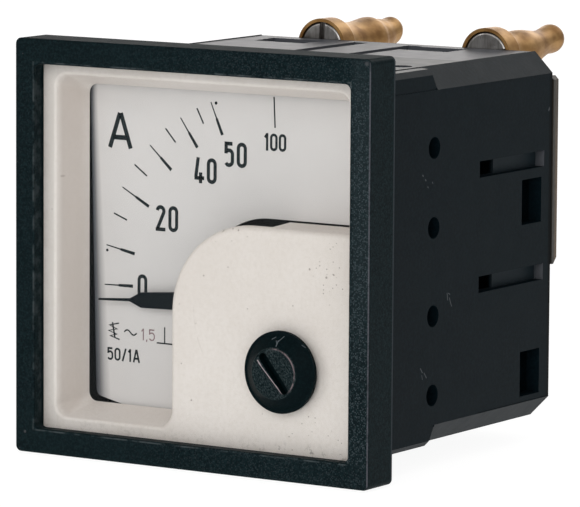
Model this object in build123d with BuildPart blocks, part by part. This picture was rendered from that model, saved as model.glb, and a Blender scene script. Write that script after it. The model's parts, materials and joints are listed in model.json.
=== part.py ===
from build123d import *
import os
import math

# Square panel meter, moving-iron movement with a 90 degree scale.
# X to the right of the dial, Y from the dial towards the terminals, Z up.
# The origin is the centre of the bezel's back face, which seats on the panel at y = 0.
# All lengths in millimetres.

os.makedirs("parts", exist_ok=True)

# ---------------------------------------------------------------- driving dimensions
# bezel
BEZEL = 48.0          # outer side of the square bezel
BEZEL_T = 5.2         # bezel thickness in front of the panel
BEZEL_R = 0.7         # corner radius
LIP_Y = -3.7          # back of the bezel's front lip
OPEN_X = 42.7         # bezel opening, width
OPEN_Z = 42.2         # bezel opening, height
OPEN_R = 0.8
POCKET = 43.4         # pocket behind the lip

# housing
H = 21.6              # half side of the housing
COLLAR_Y = -2.0       # front edge of the housing collar, inside the bezel
DEPTH = 39.5          # back face of the housing behind the panel
WALL = 1.8
CHAM = 2.45           # long corner chamfers
BLOCK_CH = 0.8        # small chamfer on the square corner blocks
BLOCK_Y1 = 12.1       # end of the corner blocks at the outer corner
BLOCK_Y2 = 13.1       # end of the corner blocks at the chamfer plane
BACK_T = 1.8          # back wall

# front pane and mask
PANE_T = 0.8
PANE_Y1 = LIP_Y + PANE_T            # -2.9, front plane of the mask frame
FLANGE_T = 0.9
WIN_F = 19.9          # half window at the front of the mask frame
WIN_B = 18.5          # half window at the dial
WIN_BACK = 1.9        # back edge of the mask frame
MASK_X = -3.95        # left edge of the mask hood
MASK_Z = 4.1          # top edge of the mask hood
MASK_WALL_X = 9.1     # left end of the hood's top wall, right of the pointer's path
MASK_R = 10.5         # its large corner
MASK_T = 1.2

# dial and movement
PX, PZ = 6.7, -5.1    # spindle axis
DIAL_Y = 2.3          # front of the scale plate
DIAL_T = 0.5
DIAL_H = 19.3         # half height, and its right edge
DIAL_XT = -18.70      # its left edge at the top, short of the mask frame's window
DIAL_XB, DIAL_ZB = -17.74, -17.77   # and where it meets the sloping lower left edge
DIAL_XE = -10.98      # end of the sloping edge on the bottom edge
CUT_L, CUT_R = -3.2, 18.2   # cut-out for the movement, left and right
CUT_B, CUT_T = -14.1, 4.45  # and its bottom and top
CUT_R1 = 9.2                # its large corner, top left
PLATE_Y = 6.0         # front of the movement plate
PLATE_T = 1.2
PTR_R = 23.45         # pointer tip radius
PTR_Y = 1.15          # front of the pointer blade
PTR_T = 0.3
REST = 183.2          # pointer angle at rest, anticlockwise from +X seen from the front
POST_R = 8.1          # bridge posts from the spindle axis
STAFF_D = 1.0
JOURNAL_D = 0.6
BEARING_D = 0.66

# zero adjuster
ZX, ZZ = 11.68, -11.85
ZBASE_D = 9.36
ZTOP_D = 5.7
ZTOP_Y = -5.45
ZSTEM_D = 3.6
ZPIN_E = 1.0          # eccentric throw
ZPIN_D = 0.9

# coil
BORE_R = 4.7
TUBE_R = 5.5
COIL_R = 9.8
FLANGE_R = 10.3
SHIELD_R = 11.1
BOB_Y1 = 23.2

# terminals
TLX, TRX = -10.95, 12.05   # the two terminals
TZ = 20.55                 # terminal axis height
BOARD_Y1 = 40.6            # back face of the terminal board
STRAP_W = 5.6
RING_Y0 = 41.4             # front of the strap's round end
STRAP_T = 0.8
RIM_R, RIM_IN = 3.35, 2.95 # the cupped rim round the screw head
RIM_Y = 39.8               # its front edge


def at(y):
    """Sketch plane facing the front at depth y, local x = X, local y = Z."""
    return Plane.XZ.offset(-y)


def octagon(half, c):
    """Square of half side `half` with corner chamfers c, as a point list."""
    a = half - c
    return [(a, half), (half, a), (half, -a), (a, -half),
            (-a, -half), (-half, -a), (-half, a), (-a, half)]


def polar(cx, cz, r, deg):
    return (cx + r * math.cos(math.radians(deg)), cz + r * math.sin(math.radians(deg)))


# ================================================================ front bezel
with BuildPart() as front_bezel:
    with BuildSketch(at(0)):
        RectangleRounded(BEZEL, BEZEL, BEZEL_R)
    extrude(amount=BEZEL_T)
    fillet(front_bezel.faces().sort_by(Axis.Y)[0].edges(), radius=0.3)
    with BuildSketch(at(0)):
        Rectangle(POCKET, POCKET)
    extrude(amount=-LIP_Y, mode=Mode.SUBTRACT)
    with BuildSketch(at(LIP_Y + 0.5)):
        RectangleRounded(OPEN_X, OPEN_Z, OPEN_R)
    extrude(amount=4.0, mode=Mode.SUBTRACT)
    inner = front_bezel.faces().filter_by(Axis.Y).sort_by(Axis.Y)[0].inner_wires()[0].edges()
    fillet(inner, radius=0.2)
    # four snap ribs inside the pocket, one to a side
    with BuildSketch(at(-0.75)):
        for ang in (0, 90, 180, 270):
            with Locations((polar(0, 0, POCKET / 2 - 0.15, ang))):
                Rectangle(10, 0.3, rotation=ang + 90)
    extrude(amount=0.5)

# ================================================================ clear front pane
with BuildPart() as front_pane:
    with BuildSketch(at(PANE_Y1)):
        RectangleRounded(43.2, 43.2, 0.6)
        with Locations((ZX, ZZ)):
            Circle(ZSTEM_D / 2 + 0.06, mode=Mode.SUBTRACT)
    extrude(amount=PANE_T)

# ================================================================ mask frame
# flat hood over the movement: large rounded corner, small inside corner at the bottom lip
HOOD_IN = 2.2
with BuildPart() as hood:
    with BuildSketch(at(PANE_Y1 + MASK_T)):
        with BuildLine():
            Line((MASK_X, MASK_Z - MASK_R), (MASK_X, -WIN_F + HOOD_IN))
            RadiusArc((MASK_X, -WIN_F + HOOD_IN), (MASK_X - HOOD_IN, -WIN_F), HOOD_IN)
            Polyline((MASK_X - HOOD_IN, -WIN_F), (MASK_X - HOOD_IN, -20.5), (20.5, -20.5), (20.5, MASK_Z),
                     (MASK_X + MASK_R, MASK_Z))
            RadiusArc((MASK_X + MASK_R, MASK_Z), (MASK_X, MASK_Z - MASK_R), -MASK_R)
        make_face()
    extrude(amount=MASK_T)
    rim = [e for e in hood.faces().filter_by(Axis.Y).sort_by(Axis.Y)[0].edges()
           if e.center().X < 20.4 and e.center().Z > -20.3 and abs(e.center().X - MASK_X + HOOD_IN) > 0.01]
    fillet(rim, radius=0.65)

with BuildPart() as mask_frame:
    with BuildSketch(at(PANE_Y1 + FLANGE_T)):
        RectangleRounded(43.2, 43.2, 0.6)
    extrude(amount=FLANGE_T)
    # tapered skirt down to the dial
    with BuildSketch(at(PANE_Y1 + FLANGE_T)):
        RectangleRounded(2 * 20.6, 2 * 20.6, 1.6)
    with BuildSketch(at(WIN_BACK)):
        RectangleRounded(2 * 19.4, 2 * 19.4, 1.4)
    loft()
    slope = (WIN_F - WIN_B) / (WIN_BACK - PANE_Y1)
    with BuildSketch(at(PANE_Y1 - 0.2)):
        RectangleRounded(2 * (WIN_F + 0.2 * slope), 2 * (WIN_F + 0.2 * slope), 1.5)
    with BuildSketch(at(WIN_BACK + 0.2)):
        RectangleRounded(2 * (WIN_B - 0.2 * slope), 2 * (WIN_B - 0.2 * slope), 1.1)
    loft(mode=Mode.SUBTRACT)
    fillet(mask_frame.faces().filter_by(Axis.Y).sort_by(Axis.Y)[0].inner_wires()[0].edges(), radius=0.4)
    add(hood.part)
    # side walls of the hood, left of the movement and right of the pointer's path
    with BuildSketch(at(WIN_BACK)):
        with Locations((MASK_X + 0.4, -14.3)):
            Rectangle(0.8, 9.6)
    extrude(amount=WIN_BACK - PANE_Y1 - 0.6)
    with BuildSketch(Plane.YZ.offset(MASK_WALL_X)):
        Polygon((PANE_Y1 + 0.9, MASK_Z - 0.8), (PANE_Y1 + 0.9, MASK_Z), (WIN_BACK, MASK_Z + 0.18),
                (WIN_BACK, MASK_Z - 0.62), align=None)
    extrude(amount=19.2 - MASK_WALL_X)
    with BuildSketch(at(PANE_Y1 + MASK_T + 1)):
        with Locations((ZX, ZZ)):
            Circle(ZSTEM_D / 2 + 0.06)
    extrude(amount=4, mode=Mode.SUBTRACT)

# ================================================================ zero adjuster screw
with BuildPart() as zero_screw:
    with BuildSketch(at(LIP_Y)):
        with Locations((ZX, ZZ)):
            Circle(ZBASE_D / 2)
    extrude(amount=0.45)
    with BuildSketch(at(LIP_Y - 0.45)):
        with Locations((ZX, ZZ)):
            Circle(ZBASE_D / 2 - 0.35)
    with BuildSketch(at(ZTOP_Y)):
        with Locations((ZX, ZZ)):
            Circle(ZTOP_D / 2)
    loft()
    fillet(zero_screw.faces().sort_by(Axis.Y)[0].edges(), radius=0.18)
    # stem through the pane and the mask, with its retaining lip
    with BuildSketch(at(-1.35)):
        with Locations((ZX, ZZ)):
            Circle(ZSTEM_D / 2)
    extrude(amount=-1.35 - LIP_Y)
    with BuildSketch(at(-1.35)):
        with Locations((ZX, ZZ)):
            Circle(ZSTEM_D / 2 + 0.25)
    extrude(amount=0.27)
    # eccentric pin, resting towards the spindle
    pin_dir = math.degrees(math.atan2(PZ - ZZ, PX - ZX))
    with BuildSketch(at(-0.42)):
        with Locations(polar(ZX, ZZ, ZPIN_E, pin_dir)):
            Circle(ZPIN_D / 2)
    extrude(amount=1.0)
    # screwdriver slot
    with BuildSketch(at(ZTOP_Y + 0.95)):
        with Locations((ZX, ZZ)):
            SlotOverall(5.5, 1.05, rotation=-51)
    extrude(amount=2, mode=Mode.SUBTRACT)

# ================================================================ scale plate
P1 = polar(PX, PZ, POST_R, 225)
P2 = polar(PX, PZ, POST_R, 45)
DIAL_POSTS = [(-0.6, -16.6), (12.0, -16.8)]
DIAL_PIPS = [(-15.5, 10.5), (10.5, 15.5)]
STOPS = [(0.15, -7.27), (8.42, 1.4)]
with BuildPart() as scale_plate:
    with BuildSketch(at(DIAL_Y + DIAL_T)):
        # the left edge leans and the lower left corner is cut off, which the window shows
        Polygon((DIAL_XT, DIAL_H), (DIAL_H, DIAL_H), (DIAL_H, -DIAL_H), (DIAL_XE, -DIAL_H), (DIAL_XB, DIAL_ZB),
                align=None)
        with Locations(*DIAL_POSTS):
            Circle(0.7, mode=Mode.SUBTRACT)
    extrude(amount=DIAL_T)
    corner = scale_plate.edges().filter_by(Axis.Y).sort_by_distance((DIAL_XB, DIAL_Y + DIAL_T / 2, DIAL_ZB))[0]
    fillet(corner, radius=0.9)
    # one large cut-out for the movement, its upper edge just above the hood
    with BuildSketch(at(DIAL_Y + DIAL_T + 1)):
        with BuildLine():
            r2 = 1.5
            Line((CUT_L + CUT_R1, CUT_T), (CUT_R - r2, CUT_T))
            RadiusArc((CUT_R - r2, CUT_T), (CUT_R, CUT_T - r2), r2)
            Line((CUT_R, CUT_T - r2), (CUT_R, CUT_B + r2))
            RadiusArc((CUT_R, CUT_B + r2), (CUT_R - r2, CUT_B), r2)
            Line((CUT_R - r2, CUT_B), (CUT_L + r2, CUT_B))
            RadiusArc((CUT_L + r2, CUT_B), (CUT_L, CUT_B + r2), r2)
            Line((CUT_L, CUT_B + r2), (CUT_L, CUT_T - CUT_R1))
            RadiusArc((CUT_L, CUT_T - CUT_R1), (CUT_L + CUT_R1, CUT_T), CUT_R1)
        make_face()
    extrude(amount=4, mode=Mode.SUBTRACT)

with BuildPart() as scale_screws:
    with BuildSketch(at(DIAL_Y)):
        with Locations(*DIAL_POSTS):
            Circle(1.4)
    extrude(amount=0.55)
    with BuildSketch(at(5.4)):
        with Locations(*DIAL_POSTS):
            Circle(0.64)
    extrude(amount=5.4 - DIAL_Y)
    with BuildSketch(at(DIAL_Y - 0.25)):
        with Locations(*DIAL_POSTS):
            Rectangle(3, 0.35)
    extrude(amount=1, mode=Mode.SUBTRACT)

# ================================================================ movement plate
SCREW_XZ = [(16.6, 16.6), (-16.6, 16.6), (-16.6, -16.6), (16.6, -16.6)]
with BuildPart() as movement_plate:
    with BuildSketch(at(PLATE_Y + PLATE_T)):
        Polygon(*octagon(19.5, 1.6), align=None)
        with Locations((PX, PZ)):
            Circle(3.0, mode=Mode.SUBTRACT)
        with Locations(*SCREW_XZ):
            Circle(1.05, mode=Mode.SUBTRACT)
        with Locations(P1, P2):
            Circle(0.5, mode=Mode.SUBTRACT)
        with Locations(*STOPS):
            Circle(0.4, mode=Mode.SUBTRACT)
    extrude(amount=PLATE_T)
    with BuildSketch(at(PLATE_Y)):
        with Locations(*DIAL_POSTS):
            Circle(2.0)
        with Locations(*DIAL_PIPS):
            Circle(1.0)
    extrude(amount=PLATE_Y - DIAL_Y - DIAL_T)
    with BuildSketch(at(5.6)):
        with Locations(*DIAL_POSTS):
            Circle(0.66)
    extrude(amount=4, mode=Mode.SUBTRACT)

with BuildPart() as movement_screws:
    with BuildSketch(at(PLATE_Y)):
        with Locations(*SCREW_XZ):
            Circle(1.75)
    extrude(amount=0.9)
    with BuildSketch(at(12.0)):
        with Locations(*SCREW_XZ):
            Circle(0.95)
    extrude(amount=12.0 - PLATE_Y)
    with BuildSketch(at(PLATE_Y - 0.45)):
        with Locations(*SCREW_XZ):
            Rectangle(4, 0.45)
    extrude(amount=1, mode=Mode.SUBTRACT)

with BuildPart() as pointer_stops:
    with BuildSketch(at(PLATE_Y + PLATE_T)):
        with Locations(*STOPS):
            Circle(0.4)
    extrude(amount=PLATE_Y + PLATE_T - 0.85)

# ================================================================ front bridge and bearings
with BuildPart() as front_bridge:
    with BuildSketch(at(0.3)):
        with Locations((PX, PZ)):
            SlotCenterToCenter(2 * POST_R, 3.2, rotation=45)
    extrude(amount=0.8)
    with BuildSketch(at(PLATE_Y)):
        with Locations(P1, P2):
            Circle(1.3)
    extrude(amount=PLATE_Y - 0.3)
    with BuildSketch(at(1.0)):
        with Locations((PX, PZ)):
            Circle(1.0)
    extrude(amount=3, mode=Mode.SUBTRACT)
    with BuildSketch(at(PLATE_Y + 1)):
        with Locations(P1, P2):
            Circle(0.5)
    extrude(amount=9, mode=Mode.SUBTRACT)

with BuildPart() as bridge_screws:
    with BuildSketch(at(-0.5)):
        with Locations(P1, P2):
            Circle(1.15)
    extrude(amount=0.7)
    with BuildSketch(at(PLATE_Y + PLATE_T - 0.1)):
        with Locations(P1, P2):
            Circle(0.49)
    extrude(amount=PLATE_Y + PLATE_T + 0.4)
    with BuildSketch(at(-0.85)):
        with Locations(P1, P2):
            Rectangle(3, 0.3, rotation=20)
    extrude(amount=1, mode=Mode.SUBTRACT)

with BuildPart() as front_bearing_screw:
    with BuildSketch(at(-0.9)):
        with Locations((PX, PZ)):
            Circle(1.5)
    extrude(amount=0.5)
    with BuildSketch(at(0.3)):
        with Locations((PX, PZ)):
            Circle(0.99)
    extrude(amount=1.2)
    with BuildSketch(at(0.3)):
        with Locations((PX, PZ)):
            Circle(BEARING_D / 2)
    extrude(amount=0.98, mode=Mode.SUBTRACT)
    with BuildSketch(at(-1.15)):
        with Locations((PX, PZ)):
            Rectangle(4, 0.35, rotation=30)
    extrude(amount=1, mode=Mode.SUBTRACT)

with BuildPart() as rear_bridge:
    with BuildSketch(at(BOB_Y1 + 1.2)):
        with Locations((PX, PZ)):
            SlotCenterToCenter(15.0, 5.0)
        with Locations((PX, PZ)):
            Circle(1.2, mode=Mode.SUBTRACT)
        with Locations((PX - 7.5, PZ), (PX + 7.5, PZ)):
            Circle(0.8, mode=Mode.SUBTRACT)
    extrude(amount=1.2)

with BuildPart() as rear_bearing_screw:
    with BuildSketch(at(26.0)):
        with Locations((PX, PZ)):
            Circle(1.19)
    extrude(amount=26.0 - 23.4)
    with BuildSketch(at(24.95)):
        with Locations((PX, PZ)):
            Circle(BEARING_D / 2)
    extrude(amount=3, mode=Mode.SUBTRACT)
    with BuildSketch(at(26.0)):
        with Locations((PX, PZ)):
            Rectangle(4, 0.4, rotation=70)
    extrude(amount=0.5, mode=Mode.SUBTRACT)

# ================================================================ zero lever and hairspring
LEVER = math.degrees(math.atan2(ZZ - PZ, ZX - PX))
LDIST = math.hypot(ZX - PX, ZZ - PZ)
with BuildPart() as zero_lever:
    with BuildSketch(at(-0.52)):
        with Locations((PX, PZ)):
            Circle(2.0)
        with Locations(polar(PX, PZ, 4.7, LEVER)):
            Rectangle(8.4, 2.6, rotation=LEVER)
        with Locations(polar(PX, PZ, 1.6, 135)):
            Rectangle(3.2, 1.0, rotation=135)
        with Locations((PX, PZ)):
            Circle(1.05, mode=Mode.SUBTRACT)
        with Locations(polar(PX, PZ, 9.3, LEVER)):
            Rectangle(5.0, 1.02, rotation=LEVER, mode=Mode.SUBTRACT)
    extrude(amount=0.36)
    with BuildSketch(at(0.8)):
        with Locations(polar(PX, PZ, 2.85, 135)):
            Circle(0.25)
    extrude(amount=1.35)

SPR_A0, SPR_R0, SPR_R1, SPR_TURNS = 135 - 360 * 4, 0.62, 2.55, 4
with BuildPart() as hairspring:
    with BuildSketch(at(0.72)):
        n = 12 * SPR_TURNS
        outer, innr = [], []
        for i in range(n + 1):
            t = i / n
            r = SPR_R0 + (SPR_R1 - SPR_R0) * t
            a = SPR_A0 + 360 * SPR_TURNS * t
            outer.append(polar(PX, PZ, r + 0.05, a))
            innr.append(polar(PX, PZ, r - 0.05, a))
        with BuildLine():
            s1 = Spline(*outer)
            s2 = Spline(*innr[::-1])
            Line(s1 @ 1, s2 @ 0)
            Line(s2 @ 1, s1 @ 0)
        make_face()
    extrude(amount=0.24)

# ================================================================ spindle and what it carries
with BuildPart() as spindle:
    with BuildSketch(at(0.34)):
        with Locations((PX, PZ)):
            Circle(JOURNAL_D / 2)
    extrude(amount=0.94)
    with BuildSketch(at(23.3)):
        with Locations((PX, PZ)):
            Circle(STAFF_D / 2)
    extrude(amount=23.3 - 0.34)
    with BuildSketch(at(24.85)):
        with Locations((PX, PZ)):
            Circle(JOURNAL_D / 2)
    extrude(amount=24.85 - 23.3)

# pointer: needle tip, spear shoulder, bar, hub and two tails
def radial(points, deg):
    c, s = math.cos(math.radians(deg)), math.sin(math.radians(deg))
    return [(PX + r * c - w * s, PZ + r * s + w * c) for r, w in points]

with BuildPart() as pointer:
    with BuildSketch(at(PTR_Y + PTR_T)):
        Polygon(*radial([(0, -1.1), (13.2, -1.0), (17.55, -0.88), (19.1, -0.17), (PTR_R, -0.11),
                         (PTR_R, 0.11), (19.1, 0.17), (17.55, 0.88), (13.2, 1.0), (0, 1.1)], REST), align=None)
        Polygon(*radial([(0, -0.5), (7.6, -0.4), (7.6, 0.4), (0, 0.5)], REST - 180), align=None)
        Polygon(*radial([(0, -0.5), (5.2, -0.4), (5.2, 0.4), (0, 0.5)], REST + 90), align=None)
    extrude(amount=PTR_T)
    with BuildSketch(at(1.75)):
        with Locations((PX, PZ)):
            Circle(1.4)
    extrude(amount=0.85)
    with BuildSketch(at(3)):
        with Locations((PX, PZ)):
            Circle(STAFF_D / 2)
    extrude(amount=4, mode=Mode.SUBTRACT)

with BuildPart() as balance_weights:
    for dist, ang, ln in ((6.2, REST - 180, 1.8), (4.1, REST + 90, 1.4)):
        with BuildSketch(at(PTR_Y + PTR_T + 0.4)):
            with Locations(polar(PX, PZ, dist, ang)):
                Rectangle(ln, 1.7, rotation=ang)
        extrude(amount=PTR_T + 0.8)
    for dist, ang, ln in ((6.2, REST - 180, 1.8), (4.1, REST + 90, 1.4)):
        with BuildSketch(at(PTR_Y + PTR_T)):
            Polygon(*radial([(dist - 1.2, -0.5 + 0.1 * (dist - 1.2) / (7.6 if ln > 1.5 else 5.2)),
                             (dist + 1.2, -0.5 + 0.1 * (dist + 1.2) / (7.6 if ln > 1.5 else 5.2)),
                             (dist + 1.2, 0.5 - 0.1 * (dist + 1.2) / (7.6 if ln > 1.5 else 5.2)),
                             (dist - 1.2, 0.5 - 0.1 * (dist - 1.2) / (7.6 if ln > 1.5 else 5.2))], ang), align=None)
        extrude(amount=PTR_T, mode=Mode.SUBTRACT)

with BuildPart() as hairspring_collet:
    with BuildSketch(at(0.78)):
        with Locations((PX, PZ)):
            Circle(0.56)
        with Locations((PX, PZ)):
            Circle(STAFF_D / 2, mode=Mode.SUBTRACT)
    extrude(amount=0.36)

with BuildPart() as damping_disc:
    with BuildSketch(at(4.5)):
        with Locations((PX, PZ)):
            Circle(6.0)
    extrude(amount=0.3)
    with BuildSketch(at(4.9)):
        with Locations((PX, PZ)):
            Circle(1.3)
    extrude(amount=1.1)
    with BuildSketch(at(6)):
        with Locations((PX, PZ)):
            Circle(STAFF_D / 2)
    extrude(amount=4, mode=Mode.SUBTRACT)

with BuildPart() as moving_iron:
    for y1 in (11.0, 20.4):
        with BuildSketch(at(y1)):
            with Locations((PX, PZ)):
                Circle(1.1)
            Polygon(*radial([(0, -0.45), (3.2, -0.45), (3.2, 0.45), (0, 0.45)], 200), align=None)
        extrude(amount=0.8)
    with BuildSketch(at(20.4)):
        with BuildLine():
            a1, a2 = 200 - 26, 200 + 26
            CenterArc((PX, PZ), 3.4, a1, a2 - a1)
            CenterArc((PX, PZ), 3.0, a1, a2 - a1)
            Line(polar(PX, PZ, 3.0, a1), polar(PX, PZ, 3.4, a1))
            Line(polar(PX, PZ, 3.0, a2), polar(PX, PZ, 3.4, a2))
        make_face()
    extrude(amount=10.2)
    with BuildSketch(at(25)):
        with Locations((PX, PZ)):
            Circle(STAFF_D / 2)
    extrude(amount=20, mode=Mode.SUBTRACT)

# ================================================================ coil set
with BuildPart() as coil_bobbin:
    with BuildSketch(at(BOB_Y1)):
        with Locations((PX, PZ)):
            Circle(TUBE_R)
    extrude(amount=BOB_Y1 - PLATE_Y - PLATE_T)
    for y1 in (PLATE_Y + PLATE_T + 1.0, BOB_Y1):
        with BuildSketch(at(y1)):
            with Locations((PX, PZ)):
                Circle(FLANGE_R)
        extrude(amount=1.0)
    with BuildSketch(at(BOB_Y1 + 1)):
        with Locations((PX, PZ)):
            Circle(BORE_R)
    extrude(amount=30, mode=Mode.SUBTRACT)
    # two stakes that hold the rear bridge
    with BuildSketch(at(BOB_Y1 + 1.7)):
        with Locations((PX - 7.5, PZ), (PX + 7.5, PZ)):
            Circle(0.79)
    extrude(amount=2.2)

with BuildPart() as coil_winding:
    with BuildSketch(at(BOB_Y1 - 1.0)):
        with Locations((PX, PZ)):
            Circle(COIL_R)
        with Locations((PX, PZ)):
            Circle(TUBE_R, mode=Mode.SUBTRACT)
    extrude(amount=BOB_Y1 - 1.0 - (PLATE_Y + PLATE_T + 1.0))

with BuildPart() as shield_ring:
    with BuildSketch(at(BOB_Y1)):
        with Locations((PX, PZ)):
            Circle(SHIELD_R)
        with Locations((PX, PZ)):
            Circle(FLANGE_R, mode=Mode.SUBTRACT)
    extrude(amount=BOB_Y1 - PLATE_Y - PLATE_T)

with BuildPart() as fixed_iron:
    with BuildSketch(at(21.0)):
        with BuildLine():
            a1, a2 = 190, 310
            CenterArc((PX, PZ), 4.68, a1, a2 - a1)
            CenterArc((PX, PZ), 4.25, a1, a2 - a1)
            Line(polar(PX, PZ, 4.25, a1), polar(PX, PZ, 4.68, a1))
            Line(polar(PX, PZ, 4.25, a2), polar(PX, PZ, 4.68, a2))
        make_face()
    extrude(amount=12.0)

with BuildPart() as damping_magnet:
    with BuildSketch(at(PLATE_Y)):
        with Locations(polar(PX, PZ, 5.7, -45)):
            Rectangle(3.8, 4.0, rotation=-45)
    extrude(amount=PLATE_Y - 3.2)
    with BuildSketch(at(4.85)):
        with Locations(polar(PX, PZ, 4.6, -45)):
            Rectangle(4.0, 4.2, rotation=-45)
    extrude(amount=1.0, mode=Mode.SUBTRACT)

# ================================================================ housing
with BuildPart() as housing:
    # square corner blocks at the front, long chamfers behind them
    with BuildSketch(at(BLOCK_Y1)):
        Polygon(*octagon(H, BLOCK_CH), align=None)
    extrude(amount=BLOCK_Y1 - COLLAR_Y)
    with BuildSketch(at(BLOCK_Y1)):
        Polygon(*octagon(H, BLOCK_CH), align=None)
    with BuildSketch(at(BLOCK_Y2)):
        Polygon(*octagon(H, CHAM), align=None)
    loft()
    with BuildSketch(at(DEPTH)):
        Polygon(*octagon(H, CHAM), align=None)
    extrude(amount=DEPTH - BLOCK_Y2)
    chamfer(housing.faces().sort_by(Axis.Y)[-1].edges(), length=0.3)
    # cavity, wider inside the collar for the mask frame
    with BuildSketch(at(DEPTH - BACK_T)):
        Polygon(*octagon(H - WALL, 1.45), align=None)
    extrude(amount=DEPTH - BACK_T - COLLAR_Y + 1, mode=Mode.SUBTRACT)
    with BuildSketch(at(3.0)):
        Rectangle(2 * 20.7, 2 * 20.7)
    extrude(amount=3.0 - COLLAR_Y + 1, mode=Mode.SUBTRACT)
    # four screw bosses for the movement plate
    with BuildSketch(at(DEPTH - BACK_T + 0.5)):
        with Locations(*SCREW_XZ):
            Circle(2.4)
    extrude(amount=DEPTH - BACK_T + 0.5 - PLATE_Y - PLATE_T)
    with BuildSketch(at(PLATE_Y + PLATE_T + 6)):
        with Locations(*SCREW_XZ):
            Circle(0.96)
    extrude(amount=7, mode=Mode.SUBTRACT)
    # grooves in the collar for the bezel's snap ribs
    with BuildSketch(at(-0.65)):
        for ang in (0, 90, 180, 270):
            with Locations((polar(0, 0, H, ang))):
                Rectangle(10.6, 0.5, rotation=ang + 90)
    extrude(amount=0.7, mode=Mode.SUBTRACT)
    # clamp features of one side: four round holes, two long pockets, two windows
    for rot in (0, 90, 180, 270):
        # outward direction of this side and the direction of its heights
        c, s = round(math.cos(math.radians(rot))), round(math.sin(math.radians(rot)))
        out = Vector(c, 0, s)
        hgt = Vector(0, 0, 1) if rot in (0, 180) else Vector(1, 0, 0)
        pl = Plane(origin=out * H, x_dir=(0, 1, 0), z_dir=out)
        up = 1 if pl.y_dir.dot(hgt) > 0 else -1
        if rot in (0, 180):
            holes = [12.6, 3.5, -6.6, -15.7]
            pockets = [9.2, -4.15]
            windows = [(4.45, 5.3), (-15.8, 5.5)]
        else:
            holes = [17.1, 7.0, -3.2, -13.3]
            pockets = [3.65, -3.9]
            windows = [(7.6, 7.0), (-12.4, 7.0)]
        with BuildSketch(pl):
            with Locations(*[(12.5, up * v) for v in holes]):
                Circle(1.25)
            with Locations(*[(34.75, up * v) for v, w in windows]):
                Rectangle(4.5, windows[0][1])
            with Locations(*[(25.3, up * v) for v in pockets]):
                Rectangle(5.0, 1.9)
        extrude(amount=-WALL - 0.3, mode=Mode.SUBTRACT)
        with BuildSketch(pl):
            with Locations(*[(30.2, up * v) for v in pockets]):
                Rectangle(14.8, 1.9)
        extrude(amount=-1.3, mode=Mode.SUBTRACT)
        # shallow step where the rear part of the side starts, and the block seams
        with BuildSketch(pl):
            with Locations((31.1, 0)):
                Rectangle(17.2, 2 * (H - CHAM))
        extrude(amount=-0.1, mode=Mode.SUBTRACT)
        with BuildSketch(pl):
            with Locations((5.0, H - 1.2), (5.0, -H + 1.2)):
                Rectangle(16.0, 2.5)
        extrude(amount=-0.08, mode=Mode.SUBTRACT)
    # slots for the two terminal straps and pilot holes for the board screws
    BOARD_SCREWS = [(18.3, 15.6), (-18.3, 15.6), (18.3, -0.6), (-18.3, -0.6)]
    with BuildSketch(at(DEPTH + 1)):
        with Locations((TLX, 12.4), (TRX, 12.4)):
            Rectangle(4.2, 1.0)
        with Locations(*BOARD_SCREWS):
            Circle(0.8)
    extrude(amount=4, mode=Mode.SUBTRACT)

# ================================================================ terminal board and fittings
with BuildPart() as terminal_board:
    with BuildSketch(at(BOARD_Y1)):
        Polygon((-21.6, -3.5), (21.6, -3.5), (21.6, 18.3), (21.15, 18.75), (-21.15, 18.75), (-21.6, 18.3), align=None)
        with Locations((TLX, TZ), (TRX, TZ)):
            Circle(RIM_R + 0.3, mode=Mode.SUBTRACT)
        with Locations((TLX, 12.4), (TRX, 12.4)):
            Rectangle(4.2, 1.0, mode=Mode.SUBTRACT)
        with Locations(*BOARD_SCREWS):
            Circle(0.85, mode=Mode.SUBTRACT)
    extrude(amount=BOARD_Y1 - DEPTH)
    chamfer(terminal_board.faces().sort_by(Axis.Z)[0].edges().sort_by(Axis.Y)[-1], length=0.75)

with BuildPart() as board_screws:
    with BuildSketch(at(BOARD_Y1 + 1.1)):
        with Locations(*BOARD_SCREWS):
            Circle(1.6)
    extrude(amount=1.1)
    chamfer(board_screws.faces().sort_by(Axis.Y)[-1].edges() + board_screws.faces().sort_by(Axis.Y)[-2].edges()
            + board_screws.faces().sort_by(Axis.Y)[-3].edges() + board_screws.faces().sort_by(Axis.Y)[-4].edges(),
            length=0.25)
    with BuildSketch(at(BOARD_Y1)):
        with Locations(*BOARD_SCREWS):
            Circle(0.78)
    extrude(amount=BOARD_Y1 - DEPTH + BACK_T - 0.1)
    with BuildSketch(at(BOARD_Y1 + 2)):
        with Locations(*BOARD_SCREWS):
            Rectangle(4, 0.45, rotation=25)
    extrude(amount=1.45, mode=Mode.SUBTRACT)


def strap_profile():
    """Side profile of a terminal strap: inner leg, upright and the joggled ring end."""
    return [(34.0, 12.0), (41.4, 12.0), (41.4, 15.7), (42.2, 16.8), (42.2, 24.6),
            (41.4, 24.6), (41.4, 17.05), (40.6, 15.95), (40.6, 12.8), (34.0, 12.8)]


def strap_outline(x):
    """Front outline of a strap: narrow leg below, full width above, round end."""
    with Locations((x, 7.0)):
        Rectangle(4.0, 14.0)
    with Locations((x, (13.1 + TZ) / 2)):
        Rectangle(STRAP_W, TZ - 13.1)
    with Locations((x, TZ)):
        Circle(RIM_R)
    with Locations((x, TZ)):
        Circle(1.6, mode=Mode.SUBTRACT)


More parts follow.
